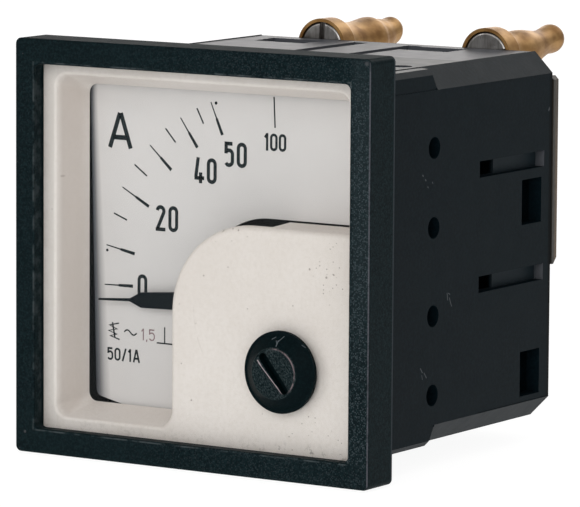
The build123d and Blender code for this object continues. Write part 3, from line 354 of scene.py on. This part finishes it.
def cream():
    t = Tree("mask_plastic")
    x, y, z = t.axes()
    big = t.noise(70, 3)
    fine = t.noise(2600, 3, 0.6)
    col = t.mix(t.range(big, 0.3, 0.75), srgb(233, 226, 221), srgb(225, 217, 211))
    col = t.mix(t.range(fine, 0.35, 0.75, 0.0, 0.35), col, srgb(214, 205, 196))
    # dirt specks: a cluster towards the upper right of the hood, a row near its top edge, a sparse scatter elsewhere
    cells = t.cells(2300)
    rnd = t.axes(cells.outputs["Color"])
    speck = t.math("LESS_THAN", cells.outputs["Distance"], t.math("MULTIPLY", rnd[1], 0.5))
    here = t.vec("DISTANCE", t.scaled(1, 0, 0.62), (0.0174, 0, -0.0004 * 0.62))
    cluster = t.range(here, 0.0008, 0.0033, 0.75, 0.0)
    row = t.vec("DISTANCE", t.scaled(0.42, 0, 1.3), (0.0028 * 0.42, 0, 0.0031 * 1.3))
    cluster = t.math("MAXIMUM", cluster, t.range(row, 0.0007, 0.0022, 0.6, 0.0))
    corner = t.vec("DISTANCE", t.scaled(0.5, 0, 0.8), (0.016 * 0.5, 0, -0.0185 * 0.8))
    cluster = t.math("MAXIMUM", cluster, t.range(corner, 0.001, 0.004, 0.3, 0.0))
    thick = t.math("ADD", 0.002, t.math("MULTIPLY", cluster, 0.45))
    there = t.math("GREATER_THAN", thick, rnd[0])
    dirt = t.math("MULTIPLY", speck, there)
    front = t.range(y, -0.0026, -0.0022, 1.0, 0.35)
    col = t.mix(t.math("MULTIPLY", t.math("MULTIPLY", dirt, 0.6), front), col, srgb(112, 98, 88))
    known = t.spots([(-1.0, None, -16.3, 0.13), (-2.4, None, -12.2, 0.10), (0.6, None, -1.9, 0.12), (3.9, None, -0.7, 0.10),
                     (12.6, None, -4.4, 0.10), (-2.7, None, -5.4, 0.08), (13.9, None, -17.6, 0.10), (8.6, None, -17.0, 0.08),
                     (-19.6, None, 8.0, 0.12), (15.2, None, 5.3, 0.09), (-20.4, None, 4.2, 0.10)], 0.7)
    col = t.mix(t.range(known, 0.5, 1.1, 0.55, 0.0), col, srgb(110, 92, 84))
    # a faint curved scratch on the hood, worn by a screwdriver
    arc = t.vec("DISTANCE", t.scaled(1, 0, 1), (0.0096, 0, -0.0058))
    band = t.range(t.math("ABSOLUTE", t.math("SUBTRACT", arc, 0.01035)), 0.00001, 0.00007, 1.0, 0.0)
    part = t.math("MULTIPLY", t.range(x, 0.0002, 0.0016, 1.0, 0.0), t.range(z, -0.0116, -0.0095, 0.0, 1.0))
    part = t.math("MULTIPLY", part, t.range(z, -0.0062, -0.0050, 1.0, 0.0))
    scratch = t.math("MULTIPLY", t.math("MULTIPLY", band, part), t.range(t.noise(900, 2), 0.3, 0.6))
    col = t.mix(t.math("MULTIPLY", scratch, 0.2), col, srgb(140, 126, 116))
    # painted shade darkens the left wall, and painted light brightens the left flange in front of it
    left_wall_shade = t.math("MULTIPLY", t.range(x, -0.0190, -0.0183, 1.0, 0.0), t.range(y, -0.0026, -0.0018))
    col = t.mix(t.math("MULTIPLY", left_wall_shade, 0.5), col, srgb(196, 184, 176))
    left_flange_light = t.math("MULTIPLY", t.range(x, -0.0199, -0.0196, 1.0, 0.0), t.range(y, -0.0026, -0.0022, 1.0, 0.0))
    col = t.mix(t.math("MULTIPLY", left_flange_light, 0.25), col, srgb(250, 245, 240))
    # painted shade, broken up by noise, where the flange meets the bezel's lip
    edge = t.math("MAXIMUM", t.math("ABSOLUTE", x), t.math("ABSOLUTE", z))
    lip_shade = t.math("MULTIPLY", t.range(edge, 0.0205, 0.0212), t.range(t.noise(420, 3), 0.35, 0.7))
    col = t.mix(t.math("MULTIPLY", lip_shade, 0.12), col, srgb(150, 138, 126))
    # dark crumbs of dirt along the bottom edge of the window, thickest at the right
    low = t.math("MULTIPLY", t.range(z, -0.0210, -0.0194, 1.0, 0.0), t.range(x, 0.004, 0.0165, 0.25, 1.0))
    crumbs = t.math("MULTIPLY", t.range(t.noise(1900, 4, 0.7), 0.50, 0.62), t.range(t.noise(500, 2), 0.38, 0.6))
    low = t.math("MULTIPLY", t.math("MULTIPLY", low, crumbs), t.range(y, -0.0026, -0.0022, 1.0, 0.0))
    col = t.mix(t.math("MULTIPLY", low, 0.6), col, srgb(96, 88, 80))
    t.setp(color=col, rough=t.range(fine, 0.3, 0.8, 0.42, 0.56), spec=0.4,
           normal=t.bump(t.math("ADD", fine, t.math("MULTIPLY", big, 2.0)), 0.14, 0.00004))
    return t.m


MAT["mask_plastic"] = cream()


def enamel():
    t = Tree("scale_enamel")
    fine = t.noise(3400, 2)
    big = t.noise(60, 3)
    col = t.mix(t.range(big, 0.3, 0.7), srgb(218, 215, 214), srgb(213, 210, 209))
    # painted shadow: the enamel darkens into a soft painted shade along its left edge, wider towards the bottom
    x, y, z = t.axes()
    edge = t.math("ADD", t.math("MULTIPLY", z, -0.0273), -0.01817)
    reach = t.range(z, 0.016, -0.017, 0.0010, 0.00195, False)
    t_edge = t.math("DIVIDE", t.math("SUBTRACT", x, edge), reach, clamp=True)
    shade = t.ramp(t_edge, [(0.0, 0.0), (0.25, 0.18), (0.6, 0.66), (1.0, 1.0)])
    col = t.mix(shade, srgb(58, 64, 72), col)
    cells = t.cells(900)
    rnd = t.axes(cells.outputs["Color"])[0]
    dust = t.math("MULTIPLY", t.math("GREATER_THAN", rnd, 0.985), t.math("LESS_THAN", cells.outputs["Distance"], 0.12))
    col = t.mix(t.math("MULTIPLY", dust, 0.35), col, srgb(150, 146, 142))
    t.setp(color=col, rough=t.range(fine, 0.3, 0.8, 0.55, 0.68), spec=0.3, normal=t.bump(fine, 0.08, 0.00003))
    return t.m


MAT["scale_enamel"] = enamel()


def ink(name, base, thin, spec=0.2):
    t = Tree(name)
    n = t.noise(2600, 3, 0.65)
    col = t.mix(t.range(n, 0.45, 0.75), base, thin)
    t.setp(color=col, rough=t.range(n, 0.3, 0.8, 0.5, 0.7), spec=spec, normal=t.bump(n, 0.1, 0.00002))
    return t.m


MAT["print_black"] = ink("print_black", srgb(8, 24, 28), srgb(26, 42, 46))
MAT["print_class"] = ink("print_class", srgb(136, 112, 116), srgb(160, 140, 142))
MAT["pointer_black"] = ink("pointer_black", srgb(2, 14, 20), srgb(9, 24, 30), 0.06)


def clear():
    t = Tree("pane_plastic")
    t.nt.nodes.remove(t.p)
    tr = t.nt.nodes.new("ShaderNodeBsdfTransparent")
    tr.inputs[0].default_value = (0.963, 0.967, 0.965, 1)
    gl = t.nt.nodes.new("ShaderNodeBsdfPrincipled")
    gl.inputs["Base Color"].default_value = (0.9, 0.92, 0.92, 1)
    gl.inputs["Metallic"].default_value = 1.0
    t.put(gl.inputs["Roughness"], t.range(t.noise(700, 3), 0.35, 0.75, 0.05, 0.12))
    fr = t.nt.nodes.new("ShaderNodeFresnel")
    fr.inputs[0].default_value = 1.35
    geo = t.nt.nodes.new("ShaderNodeNewGeometry")
    flat = geo.outputs["True Normal"]
    outer = t.math("SUBTRACT", 1.0, geo.outputs["Backfacing"])
    t.put(fr.inputs["Normal"], flat)
    t.put(gl.inputs["Normal"], flat)
    mx = t.nt.nodes.new("ShaderNodeMixShader")
    # a few dust grains on the front
    cells = t.cells(420)
    rnd = t.axes(cells.outputs["Color"])[0]
    dust = t.math("MULTIPLY", t.math("GREATER_THAN", rnd, 0.985), t.math("LESS_THAN", cells.outputs["Distance"], 0.05))
    both = t.math("MAXIMUM", t.math("MULTIPLY", fr.outputs[0], 0.5), t.math("MULTIPLY", dust, 0.3))
    t.nt.links.new(t.math("MULTIPLY", both, outer), mx.inputs[0])
    t.nt.links.new(tr.outputs[0], mx.inputs[1])
    t.nt.links.new(gl.outputs[0], mx.inputs[2])
    t.nt.links.new(mx.outputs[0], t.out.inputs[0])
    return t.m


MAT["pane_plastic"] = clear()


def metal(name, a, b, rough, scale=900, stretch=(1, 1, 1), bump=0.1, stain=None, metallic=1.0):
    t = Tree(name)
    n = t.noise(scale, 3, 0.6, t.scaled(*stretch))
    big = t.noise(260, 3)
    col = t.mix(t.range(n, 0.35, 0.7), a, b)
    if stain:
        col = t.mix(t.range(big, 0.48, 0.72, 0.0, 0.8), col, stain)
    t.setp(color=col, metal=metallic, rough=t.math("ADD", rough, t.math("MULTIPLY", t.math("SUBTRACT", n, 0.5), 0.3)),
           normal=t.bump(n, bump, 0.00004))
    return t.m


MAT["steel"] = metal("steel", srgb(176, 174, 172), srgb(120, 118, 116), 0.32, 1200, (1, 1, 0.15), 0.12, srgb(80, 72, 66))
MAT["soft_iron"] = metal("soft_iron", srgb(120, 118, 116), srgb(90, 88, 86), 0.5, 1400, (1, 0.15, 1), 0.15, srgb(70, 60, 55))
MAT["shield_steel"] = metal("shield_steel", srgb(150, 149, 147), srgb(118, 117, 115), 0.4, 1100, (1, 0.1, 1), 0.12)
MAT["brass"] = metal("brass", srgb(178, 140, 90), srgb(146, 108, 62), 0.5, 420, (1, 0.6, 1), 0.3, srgb(120, 84, 46), 0.88)
MAT["spring_bronze"] = metal("spring_bronze", srgb(214, 150, 96), srgb(170, 108, 66), 0.28, 2400, (1, 1, 1), 0.05)
MAT["plate_aluminium"] = metal("plate_aluminium", srgb(205, 205, 206), srgb(170, 170, 172), 0.42, 1300, (0.12, 1, 1), 0.1)
MAT["magnet"] = metal("magnet", srgb(80, 80, 84), srgb(52, 52, 56), 0.45, 1500, (1, 1, 1), 0.2)


def copper():
    t = Tree("enamelled_copper")
    x, y, z = t.axes()
    # turns lie across the axis, in layers
    turns = t.math("SINE", t.math("MULTIPLY", y, 2 * math.pi / 0.00042))
    n = t.noise(1500, 2)
    col = t.mix(t.range(turns, -1, 1), srgb(96, 40, 20), srgb(176, 96, 52))
    col = t.mix(t.range(n, 0.4, 0.8, 0.0, 0.5), col, srgb(140, 66, 34))
    t.setp(color=col, metal=0.85, rough=0.3, normal=t.bump(turns, 0.6, 0.00012), coat=0.4, coat_rough=0.15)
    return t.m


MAT["enamelled_copper"] = copper()


def plain_plastic(name, a, b, rough, scale=1800, bump=0.2, spec=0.45):
    t = Tree(name)
    n = t.noise(scale, 3, 0.6)
    col = t.mix(t.range(n, 0.35, 0.75), a, b)
    t.setp(color=col, rough=t.range(n, 0.3, 0.8, rough, rough + 0.14), spec=spec, normal=t.bump(n, bump, 0.00004))
    return t.m


MAT["bobbin_plastic"] = plain_plastic("bobbin_plastic", srgb(36, 33, 31), srgb(54, 50, 46), 0.42)
MAT["carrier_plastic"] = plain_plastic("carrier_plastic", srgb(14, 22, 25), srgb(24, 33, 36), 0.5, 2200, 0.2, 0.15)
MAT["lead_sleeve"] = plain_plastic("lead_sleeve", srgb(30, 30, 32), srgb(46, 46, 48), 0.45, 2600, 0.25)


def hard_paper():
    t = Tree("hard_paper")
    fib = t.noise(1500, 4, 0.65, t.scaled(0.25, 6, 1))
    plies = t.math("SINE", t.math("MULTIPLY", t.axes()[1], 2 * math.pi / 0.00022))
    col = t.mix(t.range(fib, 0.35, 0.7), srgb(98, 80, 60), srgb(80, 66, 50))
    col = t.mix(t.range(plies, 0.2, 1.0, 0.0, 0.15), col, srgb(60, 50, 38))
    # painted shade where the board meets the housing, and the board darker towards the top
    x, y, z = t.axes()
    gap_shade = t.range(y, 0.0397, 0.0405, 1.0, 0.0)
    up = t.range(z, 0.004, 0.017, 0.0, 0.75)
    col = t.mix(t.math("MULTIPLY", t.math("MAXIMUM", gap_shade, up), 0.85), col, srgb(24, 28, 28))
    t.setp(color=col, rough=t.range(fib, 0.3, 0.75, 0.42, 0.6), spec=0.4, normal=t.bump(fib, 0.2, 0.00005))
    return t.m


MAT["hard_paper"] = hard_paper()

for row in frame["record"]["subparts"]:
    ob = NODES[row["node"]]
    ob.data.materials.clear()
    ob.data.materials.append(MAT[row["material_slot"]])


def soft_edges(names, width, segments=3, angle=40):
    """Small bevels that catch the light, as a modifier on the CAD pieces."""
    for n in names:
        b = NODES[n].modifiers.new("edge", "BEVEL")
        b.width = width * MM
        b.segments = segments
        b.limit_method = "ANGLE"
        b.angle_limit = math.radians(angle)
        b.harden_normals = False

# the pane and the mask frame share a plane in the CAD; a hair of air between them keeps it clean to look through
air = NODES["front_pane"].modifiers.new("air", "DISPLACE")
air.direction = "NORMAL"
air.mid_level = 0.0
air.strength = -0.02 * MM


# ---------------------------------------------------------------- print on the dial
DIAL_FRONT = 2.3
SPIN = (6.7, -5.0)


def arc(cx, cz, r, a0, a1, n=14, rz=None):
    rz = rz or r
    return [(cx + r * math.cos(math.radians(a0 + (a1 - a0) * i / n)), cz + rz * math.sin(math.radians(a0 + (a1 - a0) * i / n)))
            for i in range(n + 1)]


def glyph(ch, x0, z0, w, h, s):
    """Centre lines of one figure in the cell x0, z0 .. x0 + w, z0 + h with stroke s: [(points, closed), ...]."""
    cx, cz = x0 + w / 2, z0 + h / 2
    a, b = w / 2 - s / 2, h / 2 - s / 2
    if ch == "0":
        k = b - a
        return [(arc(cx, cz + k, a, 180, 0) + arc(cx, cz - k, a, 0, -180), True)]
    if ch == "1":
        return [([(cx + 0.12 * w, cz - h / 2), (cx + 0.12 * w, cz + h / 2)], False),
                ([(cx + 0.12 * w, cz + h / 2 - 0.35 * s), (cx - 0.34 * w, cz + h / 2 - 0.26 * h)], False)]
    if ch == "2":
        k = b - a
        top = arc(cx, cz + k, a, 172, -22)
        return [(top + [(cx - a * 0.98, cz - b)], False), ([(x0, cz - b), (x0 + w, cz - b)], False)]
    if ch == "4":
        return [([(cx - 0.3 * a, cz + h / 2), (cx - a, cz - 0.27 * h)], False),
                ([(cx - a - s * 0.42, cz - 0.30 * h), (x0 + w, cz - 0.30 * h)], False),
                ([(cx + 0.42 * a, cz - 0.08 * h), (cx + 0.42 * a, cz - h / 2)], False)]
    if ch == "5":
        low = arc(cx, cz - b + a, a, 0, -152)
        up = arc(cx, cz + 0.13 * h - a * 0.75, a, 128, 0, 12, a * 0.95)
        return [([(cx + a, cz + b), (cx - a * 0.82, cz + b)], False),
                ([(cx - a * 0.82, cz + h / 2), (cx - a * 0.86, cz + 0.03 * h)], False),
                (up + low, False)]
    if ch == "A":
        return [([(cx - a * 1.02, cz - h / 2), (cx - 0.02 * w, cz + h / 2)], False),
                ([(cx + a * 1.02, cz - h / 2), (cx + 0.02 * w, cz + h / 2)], False),
                ([(cx - a * 0.66, cz - 0.2 * h), (cx + a * 0.66, cz - 0.2 * h)], False)]
    if ch == "/":
        return [([(cx - a, cz - h / 2), (cx + a, cz + h / 2)], False)]
    if ch == ",":
        return [([(cx + 0.1 * w, z0 + 0.08 * h), (cx - 0.1 * w, z0 - 0.12 * h)], False)]
    return []


def ribbon(bm, pts, width, closed=False, y0=DIAL_FRONT - 0.012, y1=DIAL_FRONT + 0.03):
    """A flat closed strip of constant or per-point width along pts, from y0 to y1, all in mm."""
    n = len(pts)
    ws = width if isinstance(width, (list, tuple)) else [width] * n
    left, right = [], []
    for i in range(n):
        p = Vector(pts[i])
        prev = Vector(pts[i - 1]) if (closed or i > 0) else None
        nxt = Vector(pts[(i + 1) % n]) if (closed or i < n - 1) else None
        d1 = (p - prev).normalized() if prev is not None and (p - prev).length > 1e-9 else None
        d2 = (nxt - p).normalized() if nxt is not None and (nxt - p).length > 1e-9 else None
        d1 = d1 or d2
        d2 = d2 or d1
        t = (d1 + d2)
        t = t.normalized() if t.length > 1e-6 else d1
        nr = Vector((-t.y, t.x))
        k = 1 / max(0.5, nr.dot(Vector((-d1.y, d1.x))))
        left.append(p + nr * ws[i] / 2 * k)
        right.append(p - nr * ws[i] / 2 * k)

    def v(p, y):
        return bm.verts.new((p.x * MM, y * MM, p.y * MM))
    rows = [(v(l, y0), v(r, y0), v(r, y1), v(l, y1)) for l, r in zip(left, right)]
    m = n if closed else n - 1
    for i in range(m):
        a, b = rows[i], rows[(i + 1) % n]
        for j in range(4):
            q = (j + 1) % 4
            bm.faces.new((a[j], a[q], b[q], b[j]))
    if not closed:
        bm.faces.new(rows[0][::-1])
        bm.faces.new(rows[-1])


def disc(bm, cx, cz, r, n=20):
    ribbon(bm, [(cx + r / 2 * math.cos(2 * math.pi * i / n), cz + r / 2 * math.sin(2 * math.pi * i / n)) for i in range(n)],
           r * 1.0, True)


def mesh_piece(name, bm, material, body, smooth=False):
    bmesh.ops.recalc_face_normals(bm, faces=bm.faces)
    me = bpy.data.meshes.new(name)
    bm.to_mesh(me)
    bm.free()
    ob = bpy.data.objects.new(name, me)
    bpy.context.scene.collection.objects.link(ob)
    me.materials.append(material)
    if smooth:
        for f in me.polygons:
            f.use_smooth = True
    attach(ob, body)
    return ob


def text(bm, s, x0, z0, w, h, gap, stroke):
    x = x0
    for ch in s:
        cw = w * {"1": 0.62, ",": 0.35, "/": 0.8, "A": 1.15}.get(ch, 1.0)
        for pts, closed in glyph(ch, x, z0, cw, h, stroke):
            ribbon(bm, pts, stroke, closed)
        x += cw + gap
    return x


OFF = (-0.17, -0.04)
bm = bmesh.new()


def put(s, x0, z1, x1, z0, w, h, stroke, gap):
    text(bm, s, x0 + OFF[0], z0 + OFF[1], w, h, gap, stroke)


# unit letter and the figures
put("A", -16.0, 15.3, -12.6, 11.25, 3.4 / 1.15, 4.05, 0.56, 0)
put("0", -11.85, -3.2, -10.5, -6.1, 1.36, 2.9, 0.42, 0)
put("20", -9.35, 5.0, -6.2, 2.0, 1.36, 3.0, 0.43, 0.40)
put("40", -4.05, 10.85, -0.8, 7.9, 1.36, 2.95, 0.44, 0.36)
put("50", 0.0, 12.95, 3.2, 10.0, 1.38, 2.9, 0.44, 0.36)
put("100", 5.45, 14.2, 8.5, 12.2, 1.02, 2.0, 0.31, 0.15)

# scale lines: outer and inner end of each
TICKS = {0: ((-16.63, -4.8), (-12.66, -4.72)), 10: ((-16.38, -0.16), (-12.42, -0.94)), 15: ((-15.34, 3.59), (-13.52, 2.91)),
         20: ((-14.15, 6.7), (-10.46, 4.68)), 25: ((-12.48, 9.42), (-10.75, 8.2)), 30: ((-10.34, 11.8), (-7.37, 9.11)),
         35: ((-8.19, 13.85), (-6.8, 12.32)), 40: ((-6.13, 15.21), (-3.8, 11.91)), 45: ((-3.88, 16.42), (-2.97, 14.7)),
         50: ((-1.98, 17.24), (-0.39, 13.56)), 100: ((6.57, 18.31), (6.73, 14.81))}
for value, (a, b) in TICKS.items():
    a, b = Vector(a), Vector(b)
    if value % 10 == 0 and value < 100:
        ribbon(bm, [tuple(a), tuple(a.lerp(b, 0.55))], [0.13, 0.17])
        ribbon(bm, [tuple(a.lerp(b, 0.5)), tuple(b)], [0.31, 0.38])
    else:
        ribbon(bm, [tuple(a), tuple(b)], 0.18)
disc(bm, -16.1 + OFF[0], -0.74 + OFF[1], 0.17)
disc(bm, -1.1 + OFF[0], 17.2 + OFF[1], 0.19)

# instrument symbols: moving iron, alternating current, upright position, transformer ratio
zig = [(-14.45, -9.15), (-15.75, -9.45), (-14.7, -9.85), (-15.9, -10.1), (-14.75, -10.45), (-15.65, -10.7), (-14.35, -11.05)]
ribbon(bm, [(x + OFF[0], z + OFF[1]) for x, z in zig], 0.17)
ribbon(bm, [(-15.35 + OFF[0], -9.1 + OFF[1]), (-15.0 + OFF[0], -10.9 + OFF[1])], 0.2)
wave = [(-13.7 + 1.75 * i / 20, -10.1 + 0.27 * math.sin(2 * math.pi * i / 20) - 0.02 * i / 20) for i in range(21)]
ribbon(bm, [(x + OFF[0], z + OFF[1]) for x, z in wave], 0.17)
ribbon(bm, [(-9.15 + OFF[0], -11.0 + OFF[1]), (-6.9 + OFF[0], -11.0 + OFF[1])], 0.17)
ribbon(bm, [(-8.05 + OFF[0], -9.1 + OFF[1]), (-8.05 + OFF[0], -11.0 + OFF[1])], 0.16)
put("50/1A", -16.1, -12.1, -11.45, -13.55, 0.86, 1.5, 0.23, 0.17)
dial_print = mesh_piece("dial_print", bm, MAT["print_black"], "meter_body")

bm = bmesh.new()
text(bm, "1,5", -11.35 + OFF[0], -10.85 + OFF[1], 0.86, 1.35, 0.12, 0.15)
dial_class = mesh_piece("dial_class_print", bm, MAT["print_class"], "meter_body")

# ---------------------------------------------------------------- stage
floor_mesh = bpy.data.meshes.new("floor")
s = 6.0
floor_mesh.from_pydata([(-s, -s, -0.02415), (s, -s, -0.02415), (s, s, -0.02415), (-s, s, -0.02415)], [], [(0, 1, 2, 3)])
floor = bpy.data.objects.new("floor", floor_mesh)
bpy.context.scene.collection.objects.link(floor)
t = Tree("floor_paper")
t.setp(color=(0.14, 0.14, 0.14), rough=0.9, spec=0.0)
t.p.inputs["Emission Color"].default_value = (1, 1, 1, 1)
t.p.inputs["Emission Strength"].default_value = 0.93
floor_mesh.materials.append(t.m)

world = bpy.data.worlds.new("studio")
bpy.context.scene.world = world
world.use_nodes = True
bg = world.node_tree.nodes["Background"]
bg.inputs[0].default_value = (1.0, 0.99, 0.98, 1)
bg.inputs[1].default_value = 0.30


def area(name, loc, target, size, power, colour=(1, 1, 1)):
    li = bpy.data.lights.new(name, "AREA")
    li.shape = "RECTANGLE"
    li.size, li.size_y = size
    li.energy = power
    li.color = colour
    ob = bpy.data.objects.new(name, li)
    bpy.context.scene.collection.objects.link(ob)
    ob.location = loc
    ob.rotation_euler = (Vector(target) - Vector(loc)).to_track_quat("-Z", "Y").to_euler()
    return ob


area("key", (0.34, -0.98, 0.42), (0, 0.0, 0), (0.8, 0.8), 5.1, (1.0, 0.985, 0.975))
area("left", (-0.6, -0.85, 0.4), (0, 0.0, 0), (0.6, 0.6), 1.6, (1.0, 0.985, 0.975))
area("fill", (0.75, -0.45, 0.35), (0, 0.0, 0), (0.5, 0.5), 0.62)
area("top", (0.0, 0.1, 0.9), (0, 0.02, 0), (0.8, 0.8), 2.4, (1.0, 0.985, 0.97))
area("back", (-0.65, 1.1, 0.3), (0, 0.02, 0), (1.3, 0.6), 7.0, (1.0, 0.965, 0.94))
area("back_top", (0.2, 1.0, 0.7), (0, 0.02, 0), (0.8, 0.5), 2.6)

# ---------------------------------------------------------------- camera at the photograph's angle
F = Vector((-0.5358724, 0.83472043, -0.12681708))
R = Vector((0.84105328, 0.54091413, 0.0064253))
U = Vector((-0.07396048, 0.10321679, 0.99190531))
cam_data = bpy.data.cameras.new("camera")
cam = bpy.data.objects.new("camera", cam_data)
bpy.context.scene.collection.objects.link(cam)
cam.matrix_world = Matrix(((R.x, U.x, -F.x, 0.312888), (R.y, U.y, -F.y, -0.471317), (R.z, U.z, -F.z, 0.072640), (0, 0, 0, 1)))
cam_data.sensor_fit = "HORIZONTAL"
cam_data.sensor_width = 36
cam_data.lens = 5024.13 / 580 * 36
cam_data.clip_start = 0.01
cam_data.clip_end = 20
bpy.context.scene.camera = cam
bpy.context.scene.view_settings.view_transform = "Standard"
bpy.context.scene.view_settings.look = "None"
